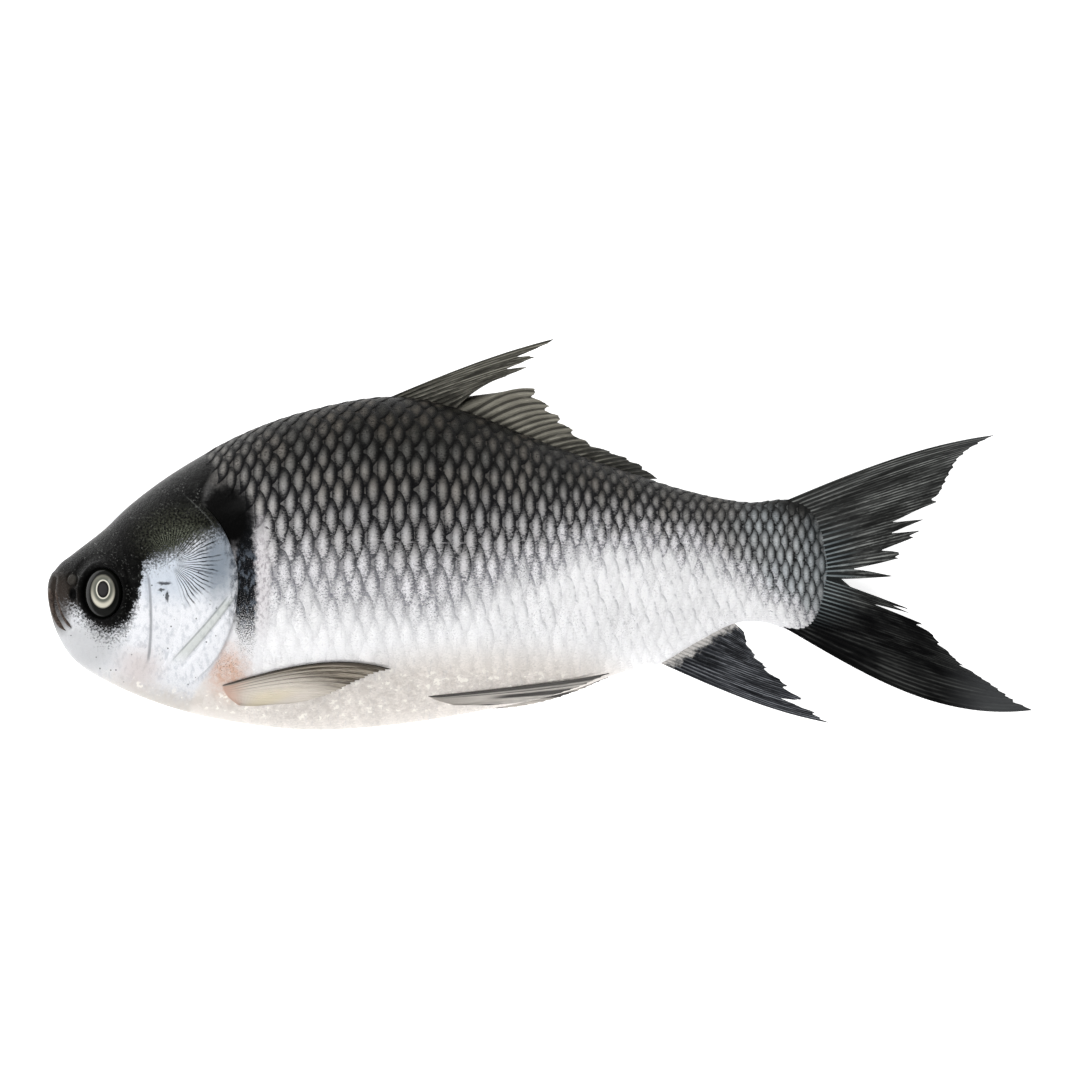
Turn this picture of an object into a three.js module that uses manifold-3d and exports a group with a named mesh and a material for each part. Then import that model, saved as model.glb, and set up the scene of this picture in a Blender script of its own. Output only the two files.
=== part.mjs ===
// A whole catla, a deep-bodied carp, fresh and uncut, lying on its right flank.
//
// Millimetres. The fish is first drawn straight, in its own frame: x runs from the snout (0) to the tail, y
// from the belly up to the back, and z from the plane of symmetry out to either flank. settle() then lays it
// down: the tail and the head sag towards the table, and the lower flank goes flat where it touches. At the
// end the group is moved so that its origin lies under the middle of its bounding box, with +Z up through the
// left flank.
import * as THREE from "three";
import { mergeVertices } from "three/addons/utils/BufferGeometryUtils.js";
import Module from "manifold-3d";

const wasm = await Module();
wasm.setup();

// ---- Driving dimensions ----

const BODY_LENGTH = 397; // snout to the root of the tail fin
const BODY_RINGS = 54;
const RING_SIDES = 36;
const RING_CROWDING = 0.88; // 0 spaces the rings evenly, near 1 crowds them at both ends
const FLOOR_BLEND = 1.2; // height over which the flank rounds into its flat spot
const FIN_DEPTH = 6; // how far a fin's root reaches into the flesh
const EYE_RADII = [10.4, 12.7, 5.5]; // along the fish, across it and out of the cheek
const EYE_SINK = 2.6; // how far the eyeball's centre lies under the cheek
const EYE_AT = [28.2, -30];
const SOCKET_GAP = 0.35;
const GILL_COVER_RISE = 1.7; // height of the gill cover's free edge over the shoulder
const CHEEK_RISE = 0.8;
const LIP_RADIUS = 1.8;
const GAPE_RADIUS = 0.8;
const PELVIC_DROP = 2.4; // how much lower the right pelvic fin lies than the left one
const NOSTRIL_RADIUS = 2.2;
const NOSTRIL_AT = [12.6, -24.5];

// ---- Curves ----

// A smooth curve through [x, y] points, as y of x. Along "root" it runs on the square root of x, so that a
// profile leaves x = 0 straight up or down and the snout comes out round.
function through(points, along = "x") {
  const key = along === "root" ? (x) => Math.sqrt(Math.max(x, 0)) : (x) => x;
  const xs = points.map(([x]) => key(x));
  const ys = points.map(([, y]) => y);
  const last = points.length - 1;
  const slope = (i) => {
    const a = Math.max(i - 1, 0);
    const b = Math.min(i + 1, last);
    return (ys[b] - ys[a]) / (xs[b] - xs[a]);
  };
  return (x) => {
    const k = THREE.MathUtils.clamp(key(x), xs[0], xs[last]);
    let i = 0;
    while (i < last - 1 && k > xs[i + 1]) i += 1;
    const span = xs[i + 1] - xs[i];
    const t = (k - xs[i]) / span;
    const rise = ys[i + 1] - ys[i];
    const out = slope(i) * span - rise;
    const into = slope(i + 1) * span - rise;
    return ys[i] + t * rise + t * (1 - t) * ((1 - t) * out - t * into);
  };
}

// A smooth line across the plane through [x, y] points, as a point at t from 0 to 1.
function line(points) {
  const at = points.map((_, i) => i / (points.length - 1));
  const x = through(points.map((p, i) => [at[i], p[0]]));
  const y = through(points.map((p, i) => [at[i], p[1]]));
  return (t) => new THREE.Vector2(x(t), y(t));
}

const backLine = through(
  [
    [0, -28.6], [6, -15.3], [13.3, -9.7], [27.6, 1.5], [41.8, 14.8], [70.4, 35.2], [106, 53.6], [140, 64.3],
    [171, 69.4], [192, 67.6], [215, 61], [258, 44], [291, 32.5], [328, 21], [356, 15.8], [378, 16.6],
    [390, 12], [395, 2], [397, -14],
  ],
  "root",
);
const bellyLine = through(
  [
    [0, -28.6], [6, -53.4], [13.3, -63.9], [34.7, -77.2], [63.3, -88.3], [92, -95], [134.7, -99.5],
    [178, -96.6], [220, -89.8], [263, -80.4], [290, -71], [310, -66.4], [330, -55], [349, -45.6],
    [364, -45], [382, -50.4], [391, -47], [395.4, -36], [397, -20],
  ],
  "root",
);
const halfWidth = through(
  [
    [0, 0], [6, 12.5], [13.3, 18], [27.6, 25], [50, 32], [75, 36.6], [105, 39.2], [138, 40], [180, 39],
    [220, 36.3], [260, 31.8], [301, 25.3], [332, 19.3], [362, 12.6], [380, 7], [391, 3.6], [397, 1.8],
  ],
  "root",
);
// Height of the plane of symmetry over the table.
const midHeight = through([
  [0, 31.5], [40, 34], [100, 36.4], [160, 36.2], [220, 34.4], [280, 30.4], [340, 22.6], [397, 13],
  [450, 5], [500, 0.6],
]);
// How boxy a section is above and below its widest level: 2 is an ellipse.
const boxyAbove = through([[0, 2.1], [60, 2.5], [160, 2.3], [300, 2], [397, 2.2]]);
const boxyBelow = through([[0, 2.1], [60, 2.2], [200, 2.1], [300, 1.9], [397, 2.2]]);
const WIDEST_LEVEL = 0.1; // share of the half depth by which the widest level lies over the middle

// ---- The flank as a surface ----

// Distance from the plane of symmetry to the skin, over the point (x, y) of a side view.
function flank(x, y) {
  const top = backLine(x);
  const bottom = bellyLine(x);
  const half = (top - bottom) / 2;
  const level = half > 0 ? (y - bottom) / half - 1 - WIDEST_LEVEL : 1;
  const n = Math.min(1, level > 0 ? level / (1 - WIDEST_LEVEL) : -level / (1 + WIDEST_LEVEL));
  const boxy = level > 0 ? boxyAbove(x) : boxyBelow(x);
  return halfWidth(x) * Math.sqrt(1 - n ** boxy);
}

function flankNormal(x, y) {
  const d = 0.5;
  const alongX = (flank(x + d, y) - flank(x - d, y)) / (2 * d);
  const alongY = (flank(x, y + d) - flank(x, y - d)) / (2 * d);
  return new THREE.Vector3(-alongX, -alongY, 1).normalize();
}

// The point lift millimetres off the left flank's skin.
function onFlank(x, y, lift = 0) {
  return new THREE.Vector3(x, y, flank(x, y)).addScaledVector(flankNormal(x, y), lift);
}

// Lays a point of the straight fish on the table.
function settle(p) {
  const z = p.z + midHeight(p.x);
  if (z < -FLOOR_BLEND) p.z = 0;
  else if (z < FLOOR_BLEND) p.z = (z + FLOOR_BLEND) ** 2 / (4 * FLOOR_BLEND);
  else p.z = z;
  return p;
}

// ---- Solids ----

// A manifold solid of a closed geometry, its vertices mirrored to the right flank if asked for, then settled.
// Faces are turned outwards whichever way their rows were drawn.
function solidOf(geometry, { right = false } = {}) {
  const bare = geometry.index ? geometry.toNonIndexed() : geometry;
  const place = bare.getAttribute("position");
  const point = new THREE.Vector3();
  for (let i = 0; i < place.count; i += 1) {
    point.fromBufferAttribute(place, i);
    if (right) point.z = -point.z;
    settle(point);
    place.setXYZ(i, point.x, point.y, point.z);
  }
  const merged = mergeVertices(new THREE.BufferGeometry().setAttribute("position", place), 1e-3);
  const corner = [0, 1, 2].map(() => new THREE.Vector3());
  const faces = [];
  let volume = 0;
  for (let i = 0; i < merged.index.count; i += 3) {
    const [a, b, c] = [0, 1, 2].map((k) => merged.index.getX(i + k));
    if (a === b || b === c || c === a) continue;
    faces.push([a, b, c]);
    [a, b, c].forEach((v, k) => corner[k].fromBufferAttribute(merged.attributes.position, v));
    volume += corner[0].dot(corner[1].cross(corner[2]));
  }
  return new wasm.Manifold(
    new wasm.Mesh({
      numProp: 3,
      vertProperties: merged.attributes.position.array,
      triVerts: new Uint32Array(faces.flatMap((face) => (volume > 0 ? face : face.reverse()))),
    }),
  );
}

function geometryOf(solid) {
  const mesh = solid.getMesh();
  return new THREE.BufferGeometry()
    .setAttribute("position", new THREE.BufferAttribute(new Float32Array(mesh.vertProperties), 3))
    .setIndex(new THREE.BufferAttribute(new Uint32Array(mesh.triVerts), 1));
}

// A closed geometry over rings of as many points each. The two end rings are closed with strips from one half
// of the ring to the other, which also suit a bent edge.
function skinOver(rings) {
  const sides = rings[0].length;
  const faces = [];
  const quad = (a, b, c, d) => faces.push(a, b, c, a, c, d);
  for (let start = 0; start + sides < rings.length * sides; start += sides) {
    for (let s = 0; s < sides; s += 1) {
      const [a, b] = [start + s, start + ((s + 1) % sides)];
      quad(a, b, b + sides, a + sides);
    }
  }
  const end = (rings.length - 1) * sides;
  for (let s = 0; s + 1 < sides / 2; s += 1) {
    const across = sides - 1 - s;
    quad(s, across, across - 1, s + 1);
    quad(end + s, end + s + 1, end + across - 1, end + across);
  }
  return new THREE.BufferGeometry()
    .setAttribute("position", new THREE.Float32BufferAttribute(rings.flat().flatMap((p) => p.toArray()), 3))
    .setIndex(faces);
}

// A thin closed plate: at(column, row, side) is a point of its upper face (side 1) or its lower face (-1).
function plate(columns, rows, at) {
  const upTo = (n) => Array.from({ length: n }, (_, i) => i);
  return skinOver(
    upTo(columns).map((column) => [
      ...upTo(rows).map((row) => at(column, row, 1)),
      ...upTo(rows).reverse().map((row) => at(column, row, -1)),
    ]),
  );
}

// ---- Body ----

function body() {
  const rings = [];
  for (let i = 0; i <= BODY_RINGS; i += 1) {
    const t = i / BODY_RINGS;
    const x = BODY_LENGTH * (t - (RING_CROWDING * Math.sin(2 * Math.PI * t)) / (2 * Math.PI));
    const middle = (backLine(x) + bellyLine(x)) / 2;
    const half = (backLine(x) - bellyLine(x)) / 2;
    const ring = [];
    for (let s = 0; s < RING_SIDES; s += 1) {
      const angle = (2 * Math.PI * s) / RING_SIDES;
      const c = Math.cos(angle);
      const share = c > 0 ? 1 - WIDEST_LEVEL : 1 + WIDEST_LEVEL;
      const boxy = c > 0 ? boxyAbove(x) : boxyBelow(x);
      const level = WIDEST_LEVEL + share * Math.sign(c) * Math.abs(c) ** (2 / boxy);
      ring.push(new THREE.Vector3(x, middle + half * level, halfWidth(x) * Math.sin(angle)));
    }
    rings.push(ring);
  }
  return solidOf(skinOver(rings));
}

// ---- Fins ----

// A fin as a fan of rays. The lines root and tip carry the rays' two ends, bow bends each ray sideways as a
// share of its length, web(i) is how far the skin behind ray i reaches along it, and lie lays a point down.
function fin({ rays, steps, root, tip, bow, web, rayHalf, webHalf, lie }) {
  const last = 2 * rays - 2;
  return plate(last + 1, steps + 1, (column, row, side) => {
    const t = column / last;
    const isRay = column % 2 === 0;
    const s = (row / steps) * (isRay ? 1 : web((column - 1) / 2));
    const along = tip(t).sub(root(t));
    const sideways = bow(t) * s * (1 - s) * (2.4 + 3.2 * s);
    const across = new THREE.Vector2(-along.y, along.x).multiplyScalar(sideways);
    const half = THREE.MathUtils.lerp(...(isRay ? rayHalf : webHalf), s);
    return lie(root(t).addScaledVector(along, s).add(across), s, side * half);
  });
}

// Two lines one after the other, the first one up to the share split: a fin's edge with a notch in it.
const inTwo = (split, first, second) => (t) =>
  t < split ? first(t / split) : second((t - split) / (1 - split));

// A fin in the plane of symmetry, which droops towards the table by droop at its rim.
const upright = (droop) => (place, s, half) => new THREE.Vector3(place.x, place.y, half - droop * s * s);

// A paired fin, which lies along the flank; its rim stands off by lift, and hangs lower by drop.
const alongFlank = (lift, drop = 0) => (place, s, half) => {
  const over = Math.max(place.y, bellyLine(place.x) + FIN_DEPTH);
  const point = onFlank(place.x, over, half + lift * s);
  point.y += place.y - over - drop * s;
  return point;
};

// A fixed, uneven pattern from 0 to 1, so that no two rays wear alike.
const uneven = (i) => Math.abs(Math.sin(12.9898 * (i + 1)) * 43758.5453) % 1;

const MIDDLE_RAY = { rayHalf: [1.4, 0.5], webHalf: [1, 0.35] };
const PAIRED_RAY = { rayHalf: [2, 0.5], webHalf: [1.7, 0.35] };

function tailFin() {
  const upperRim = line([[480, 50.3], [465, 40.5], [456, 26], [449.5, 12], [441, -4], [429, -23]]);
  const lowerRim = line([[436, -36], [447, -47.5], [464, -65], [483, -78], [500, -89.7]]);
  return fin({
    ...MIDDLE_RAY,
    rays: 19,
    steps: 5,
    root: line([[372, 13], [388, 4], [393, -12], [393, -26], [388, -40], [376, -48]]),
    tip: inTwo(0.54, upperRim, lowerRim),
    bow: through([[0, 0.03], [0.15, 0], [0.85, 0], [1, -0.085]]),
    web: (i) => (i === 9 ? 0.3 : i < 4 || i > 13 ? 0.95 : 0.62 + 0.25 * uneven(i)),
    lie: upright(0),
  });
}

function backFin() {
  const [front, gap, rear] = [160, 206, 310];
  const split = 5 / 17;
  const frontRim = line([[257, 99.3], [252, 93], [247.5, 87.5], [243, 83.5], [230, 79]]);
  const rearRim = line([[247.5, 73.5], [256, 64], [264, 56], [275, 46.5], [290, 40.6], [303, 35], [313, 26]]);
  return fin({
    ...MIDDLE_RAY,
    rays: 18,
    steps: 5,
    root: (t) => {
      const x = t < split ? THREE.MathUtils.mapLinear(t, 0, split, front, gap) : 0;
      const at = x || THREE.MathUtils.mapLinear(t, split, 1, gap, rear);
      return new THREE.Vector2(at, backLine(at) - FIN_DEPTH);
    },
    tip: inTwo(split, frontRim, rearRim),
    bow: through([[0, 0.05], [0.25, 0.03], [0.32, 0.1], [0.6, 0.06], [1, 0.02]]),
    web: (i) => (i === 4 ? 0.3 : i < 4 ? 0.75 + 0.2 * uneven(i) : 0.9),
    lie: upright(6),
  });
}

function analFin() {
  return fin({
    ...MIDDLE_RAY,
    rays: 9,
    steps: 5,
    root: line([[303, -62], [316, -57], [330, -49], [345, -42]]),
    tip: line([[397.5, -96.4], [389, -89], [381, -81], [369, -71], [362, -64], [356.5, -57], [354, -50]]),
    bow: through([[0, -0.03], [1, 0.02]]),
    web: (i) => (i === 1 ? 0.8 : 0.92),
    lie: upright(5),
  });
}

function breastFin() {
  return fin({
    ...PAIRED_RAY,
    rays: 12,
    steps: 5,
    root: line([[90, -75], [91, -81], [96, -86]]),
    tip: line([[174.5, -67.6], [163, -71.5], [153, -76], [140, -81.5], [125, -86], [108, -89]]),
    bow: through([[0, 0.075], [1, 0]]),
    web: () => 0.95,
    lie: alongFlank(1.6),
  });
}

const bellyFin = (drop) => () =>
  fin({
    ...PAIRED_RAY,
    rays: 8,
    steps: 5,
    root: line([[193, -82], [194.5, -85], [197, -88]]),
    tip: line([[284.5, -69.6], [270, -75], [256, -80], [240, -84.5], [226, -87]]),
    bow: through([[0, -0.012], [1, 0]]),
    web: () => 0.94,
    lie: alongFlank(1.2, drop),
  });

// ---- Head ----

// A bony plate of the cheek: it grows out of the skin at the line front and ends in a rear edge that stands
// up by rise.
function bonyPlate({ columns, rows, front, rear, rise }) {
  return plate(columns, rows, (column, row, side) => {
    const u = column / (columns - 1);
    const v = row / (rows - 1);
    const at = front(v).lerp(rear(v), u);
    return onFlank(at.x, at.y, side > 0 ? rise * (2.2 * u * u - 1.2) : -4);
  });
}

const gillCover = () =>
  bonyPlate({
    columns: 7,
    rows: 12,
    front: line([[62, 13], [64, 2], [66, -14], [67, -30], [66, -46], [60, -62], [54, -74]]),
    rear: line([[74, 21], [89, 4], [96.5, -14], [97.6, -28], [95, -44], [86, -63], [68, -80.5]]),
    rise: GILL_COVER_RISE,
  });

// The cheek in front of the gill cover, which ends in its own lower step.
const cheek = () =>
  bonyPlate({
    columns: 4,
    rows: 7,
    front: line([[42, -20], [42, -40], [42, -62]]),
    rear: line([[50, -19], [52.6, -38], [52, -56], [50, -66]]),
    rise: CHEEK_RISE,
  });

// A round cord laid over the snout, from one cheek to the other, with its middle on the plane of symmetry.
function cordOverSnout(fold, radius) {
  const halves = 8;
  const places = [];
  for (let i = -halves; i <= halves; i += 1) {
    const { x, y } = fold(Math.abs(i) / halves);
    const spread = Math.min(1, Math.abs(i) / 2);
    places.push(new THREE.Vector3(x, y, Math.sign(i) * flank(x, y) * spread));
  }
  const section = new THREE.Shape().absarc(0, 0, radius, 0, 2 * Math.PI);
  return new THREE.ExtrudeGeometry(section, {
    steps: 20,
    curveSegments: 4,
    bevelEnabled: false,
    extrudePath: new THREE.CatmullRomCurve3(places),
  });
}

const lowerLip = () =>
  cordOverSnout(line([[2, -25], [1.9, -32], [3.8, -40.5], [6.8, -46], [10.5, -49.5]]), LIP_RADIUS);

const gape = () =>
  cordOverSnout(line([[3.6, -22.5], [3.2, -30], [5.4, -38.5], [8.6, -44], [12, -47.6]]), GAPE_RADIUS);

function eyeball(grown) {
  const ball = new THREE.SphereGeometry(1, 20, 10).rotateX(Math.PI / 2);
  ball.scale(...EYE_RADII.map((radius) => radius + grown));
  const out = flankNormal(...EYE_AT);
  ball.applyQuaternion(new THREE.Quaternion().setFromUnitVectors(new THREE.Vector3(0, 0, 1), out));
  const centre = onFlank(...EYE_AT, -EYE_SINK);
  return ball.translate(centre.x, centre.y, centre.z);
}

function nostril() {
  const centre = onFlank(...NOSTRIL_AT, 0.4);
  return new THREE.IcosahedronGeometry(NOSTRIL_RADIUS, 1).translate(centre.x, centre.y, centre.z);
}

// ---- The fish ----

const bothSides = (make) => [solidOf(make()), solidOf(make(), { right: true })];

function fish() {
  const added = [
    ...[tailFin, backFin, analFin, lowerLip].map((make) => solidOf(make())),
    ...[cheek, gillCover, breastFin].flatMap(bothSides),
    solidOf(bellyFin(0)()),
    solidOf(bellyFin(PELVIC_DROP)(), { right: true }),
  ];
  const cut = [solidOf(gape()), ...[() => eyeball(SOCKET_GAP), nostril].flatMap(bothSides)];
  const whole = added.reduce((flesh, piece) => flesh.add(piece), body());
  return cut.reduce((flesh, hollow) => flesh.subtract(hollow), whole);
}

const skin = new THREE.MeshStandardMaterial({ color: 0x8f9294, roughness: 0.38, metalness: 0.15 });
const eyeGloss = new THREE.MeshStandardMaterial({ color: 0x2b2a28, roughness: 0.08, metalness: 0 });

function mesh(name, solid, material) {
  const made = new THREE.Mesh(geometryOf(solid), material);
  made.name = name;
  return made;
}

const catla = new THREE.Group();
catla.add(mesh("fish", fish(), skin));
catla.add(mesh("eye_left", solidOf(eyeball(0)), eyeGloss));
catla.add(mesh("eye_right", solidOf(eyeball(0), { right: true }), eyeGloss));

const extent = new THREE.Box3().setFromObject(catla);
const centre = extent.getCenter(new THREE.Vector3());
catla.position.set(-centre.x, -centre.y, -extent.min.z);

export default catla;
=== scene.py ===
# %% [markdown]
# # A whole catla, fresh and wet, lying on its right flank
#
# The fish is drawn straight first, in millimetres: x from the snout to the tail, y from the belly to the
# back, and z out of the left flank. One function then lays any of its points on the table. Every piece of
# the fish, from a scale to a fin ray, is placed by that same function, so the pieces fit each other
# without being moved by hand.

# %% The frame
import math

import bpy
import numpy as np
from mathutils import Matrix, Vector


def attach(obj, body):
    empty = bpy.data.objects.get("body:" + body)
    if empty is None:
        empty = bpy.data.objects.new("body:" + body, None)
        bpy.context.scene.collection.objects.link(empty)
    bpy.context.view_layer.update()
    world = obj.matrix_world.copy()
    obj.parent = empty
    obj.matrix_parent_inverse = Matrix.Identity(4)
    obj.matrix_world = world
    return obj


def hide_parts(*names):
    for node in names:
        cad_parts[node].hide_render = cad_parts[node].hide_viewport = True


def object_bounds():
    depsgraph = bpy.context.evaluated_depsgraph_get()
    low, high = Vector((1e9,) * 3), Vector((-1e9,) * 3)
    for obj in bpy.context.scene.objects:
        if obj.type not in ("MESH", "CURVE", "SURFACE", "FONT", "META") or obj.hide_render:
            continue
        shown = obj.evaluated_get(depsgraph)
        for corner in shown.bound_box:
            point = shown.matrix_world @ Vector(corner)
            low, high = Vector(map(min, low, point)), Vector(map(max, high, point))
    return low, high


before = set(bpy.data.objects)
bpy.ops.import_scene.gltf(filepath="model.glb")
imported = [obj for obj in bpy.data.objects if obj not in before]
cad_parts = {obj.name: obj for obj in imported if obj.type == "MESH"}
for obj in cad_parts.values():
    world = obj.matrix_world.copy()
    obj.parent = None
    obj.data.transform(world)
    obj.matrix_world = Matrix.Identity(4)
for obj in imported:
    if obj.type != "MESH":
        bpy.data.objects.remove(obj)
cad_low, cad_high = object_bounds()
MM = 0.001
BACK_FIN_TIP = 99.3  # the highest point of the side view, in millimetres over the fish's axis
SNOUT_X = cad_low.x / MM
AXIS_Y = cad_high.y / MM - BACK_FIN_TIP
rng = np.random.default_rng(12)
print("frame:", sorted(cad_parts), "axis at y", round(AXIS_Y, 2), "mm")

# %% [markdown]
# ## Curves
# A handful of measured points makes each outline. `through` draws a smooth curve through them. On a
# square-root key the curve leaves x = 0 at a right angle, which is what makes a snout round.


# %% Curves through a few points
def through(points, root=False):
    xs, ys = np.array(points, float).T
    key = np.sqrt if root else np.array
    keys = key(xs)
    after = np.append(np.arange(1, len(xs)), len(xs) - 1)
    before = np.append(0, np.arange(len(xs) - 1))
    slope = (ys[after] - ys[before]) / (keys[after] - keys[before])

    def curve(x):
        k = key(np.clip(x, xs[0], xs[-1]))
        i = np.clip(np.searchsorted(keys, k, side="right") - 1, 0, len(xs) - 2)
        span, rise = keys[i + 1] - keys[i], ys[i + 1] - ys[i]
        t = (k - keys[i]) / span
        bend = (1 - t) * (slope[i] * span - rise) - t * (slope[i + 1] * span - rise)
        return ys[i] + t * rise + t * (1 - t) * bend

    return curve


def line(points):
    share = np.linspace(0, 1, len(points))
    x = through([(s, p[0]) for s, p in zip(share, points)])
    y = through([(s, p[1]) for s, p in zip(share, points)])
    return lambda t: np.stack([x(t), y(t)], axis=-1)


BODY_LENGTH = 397.0
back_line = through(
    [
        (0, -28.6), (6, -15.3), (13.3, -9.7), (27.6, 1.5), (41.8, 14.8), (70.4, 35.2), (106, 53.6),
        (140, 64.3), (171, 69.4), (192, 67.6), (215, 61), (258, 44), (291, 32.5), (328, 21), (356, 16),
        (376, 17.4), (389, 13), (395, 2), (397, -14),
    ],
    root=True,
)
belly_line = through(
    [
        (0, -28.6), (6, -53.4), (13.3, -63.9), (34.7, -77.2), (63.3, -88.3), (92, -95), (134.7, -99.5),
        (178, -96.6), (220, -89.8), (263, -80.4), (290, -71), (310, -66.4), (330, -55), (349, -45.6),
        (364, -45), (382, -50.4), (391, -47), (395.4, -36), (397, -20),
    ],
    root=True,
)
half_width = through(
    [
        (0, 0), (6, 12.5), (13.3, 18), (27.6, 25), (50, 32), (75, 36.6), (105, 39.2), (138, 40), (180, 39),
        (220, 36.3), (260, 31.8), (301, 25.3), (332, 19.3), (362, 12.6), (380, 7), (391, 3.6), (397, 1.8),
    ],
    root=True,
)
mid_height = through(
    [
        (0, 31.5), (40, 34), (100, 36.4), (160, 36.2), (220, 34.4), (280, 30.4), (340, 22.6), (397, 13),
        (450, 5), (500, 0.6),
    ]
)
boxy_above = through([(0, 2.1), (60, 2.5), (160, 2.3), (300, 2), (397, 2.2)])
boxy_below = through([(0, 2.1), (60, 2.2), (200, 2.1), (300, 1.9), (397, 2.2)])
print("curves: body depth", round(float(back_line(150) - belly_line(150)), 1), "mm at x = 150")

# %% [markdown]
# ## The skin as a surface
# A point of the skin is named by x and an angle round the section: 0 on the ridge of the back, pi under
# the belly. A positive angle is on the left flank and a negative one on the right. `skin` gives the point
# and its normal after the fish has been laid down, so anything can be set at a chosen height off the
# skin.

# %% Sections, and laying down
WIDEST_LEVEL = 0.1
FLOOR_BLEND = 1.2
SKIN_CLEAR = 0.8  # room under the skin for the scales that the fish lies on


def straight(x, angle):
    x, angle = np.broadcast_arrays(x, angle)
    c = np.cos(angle)
    share = np.where(c > 0, 1 - WIDEST_LEVEL, 1 + WIDEST_LEVEL)
    boxy = np.where(c > 0, boxy_above(x), boxy_below(x))
    level = WIDEST_LEVEL + share * np.sign(c) * np.abs(c) ** (2 / boxy)
    top, bottom = back_line(x), belly_line(x)
    y = (top + bottom) / 2 + (top - bottom) / 2 * level
    return np.stack([x, y, half_width(x) * np.sin(angle)], axis=-1)


def angle_at(x, y):
    top, bottom = back_line(x), belly_line(x)
    level = (2 * y - top - bottom) / (top - bottom) - WIDEST_LEVEL
    upper = np.clip(level / (1 - WIDEST_LEVEL), 0, 1) ** (boxy_above(x) / 2)
    lower = np.clip(-level / (1 + WIDEST_LEVEL), 0, 1) ** (boxy_below(x) / 2)
    return np.arccos(upper - lower)


def laid(points, clear=SKIN_CLEAR):
    z = points[..., 2] + mid_height(points[..., 0]) - clear
    blended = (np.clip(z, -FLOOR_BLEND, FLOOR_BLEND) + FLOOR_BLEND) ** 2 / (4 * FLOOR_BLEND)
    settled = np.where(z > FLOOR_BLEND, z, blended) + clear
    return np.concatenate([points[..., :2], settled[..., None]], axis=-1)


def unit(vectors):
    return vectors / np.maximum(np.linalg.norm(vectors, axis=-1, keepdims=True), 1e-9)


def skin(x, angle, lift=0.0):
    dx, da = 0.25, 0.004
    along = laid(straight(x + dx, angle)) - laid(straight(x - dx, angle))
    around = laid(straight(x, angle + da)) - laid(straight(x, angle - da))
    normal = unit(np.cross(around, along))
    return laid(straight(x, angle)) + normal * np.asarray(lift)[..., None]


def flank_point(x, y, side, lift=0.0):
    return skin(x, side * angle_at(x, y), lift)


def smooth(value, low, high):
    t = np.clip((value - low) / (high - low), 0, 1)
    return t * t * (3 - 2 * t)


print("skin: highest point", round(float(skin(138.0, math.pi / 2)[2]), 1), "mm over the table")

# %% [markdown]
# ## From points to Blender objects
# Rings of points make a closed surface. The ends are closed with strips from one half of the ring to the
# other. Every piece stands for a solid of the frame and rides on the one body.

# %% Mesh makers
TABLE_GAP = 0.02  # nothing reaches into the table
SIDES = {1: "left", -1: "right"}


def piece(name, points, faces, material, node="fish", slot="scaled_skin", uv=None, shade=None):
    place = (points.reshape(-1, 3) + (SNOUT_X, AXIS_Y, 0)) * MM
    place[:, 2] = np.maximum(place[:, 2], TABLE_GAP * MM)
    mesh = bpy.data.meshes.new(name)
    mesh.from_pydata(place.tolist(), [], faces.tolist())
    mesh.validate()
    mesh.polygons.foreach_set("use_smooth", np.ones(len(mesh.polygons), bool))
    corners = np.zeros(len(mesh.loops), int)
    mesh.loops.foreach_get("vertex_index", corners)
    if uv is not None:
        layer = mesh.uv_layers.new(name="own")
        layer.uv.foreach_set("vector", uv.reshape(-1, 2)[corners].ravel())
    if shade is not None:
        mesh.attributes.new("shade", "FLOAT", "POINT").data.foreach_set("value", shade.ravel())
    mesh.materials.append(material)
    made = bpy.data.objects.new(name, mesh)
    bpy.context.scene.collection.objects.link(made)
    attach(made, "root")
    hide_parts(node)
    return made


def ring_faces(count, sides):
    start = np.arange(count - 1)[:, None] * sides
    s = np.arange(sides)[None, :]
    a, b = start + s, start + (s + 1) % sides
    walls = np.stack([a, b, b + sides, a + sides], axis=-1).reshape(-1, 4)
    half = np.arange(sides // 2 - 1)
    cap = np.stack([half, sides - 1 - half, sides - 2 - half, half + 1], axis=-1)
    end = (count - 1) * sides
    return np.concatenate([walls, cap, end + cap[:, ::-1]])


def outward(points, faces):
    p = points.reshape(-1, 3)[faces]
    volume = np.einsum("ij,ij->i", p[:, 0], np.cross(p[:, 1], p[:, 2]) + np.cross(p[:, 2], p[:, 3])).sum()
    return faces if volume > 0 else faces[:, ::-1]


def closed(name, rings, material, **more):
    faces = outward(rings, ring_faces(*rings.shape[:2]))
    return piece(name, rings, faces, material, **more)


def plate(name, over, under, material, uv=None, **more):
    rings = np.concatenate([over, under[:, ::-1]], axis=1)
    both = None if uv is None else np.concatenate([uv, uv[:, ::-1]], axis=1)
    return closed(name, rings, material, uv=both, **more)


# %% [markdown]
# ## Materials as sums
# A pattern is easier to read as a formula than as a list of links. A `Signal` is a node's output, and the
# signs between signals add Math nodes. `Paint` is one material: it hands out signals such as the place on
# the fish in millimetres, noise, soft steps and soft spots, and mixes colours with them.


# %% A small language for node materials
class Signal:
    def __init__(self, paint, socket):
        self.paint, self.socket = paint, socket

    def __add__(self, other):
        return self.paint.math("ADD", self, other)

    def __sub__(self, other):
        return self.paint.math("SUBTRACT", self, other)

    def __rsub__(self, other):
        return self.paint.math("SUBTRACT", other, self)

    def __mul__(self, other):
        return self.paint.math("MULTIPLY", self, other)

    def __truediv__(self, other):
        return self.paint.math("DIVIDE", self, other)

    def __abs__(self):
        return self.paint.math("ABSOLUTE", self)

    def root(self):
        return self.paint.math("SQRT", self)

    def step(self, low, high):
        """A soft step from 0 at low to 1 at high."""
        ends = {"Value": self, "From Min": low, "From Max": high}
        return self.paint.node("MapRange", {"interpolation_type": "SMOOTHSTEP"}, ends)

    __radd__, __rmul__ = __add__, __mul__


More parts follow.
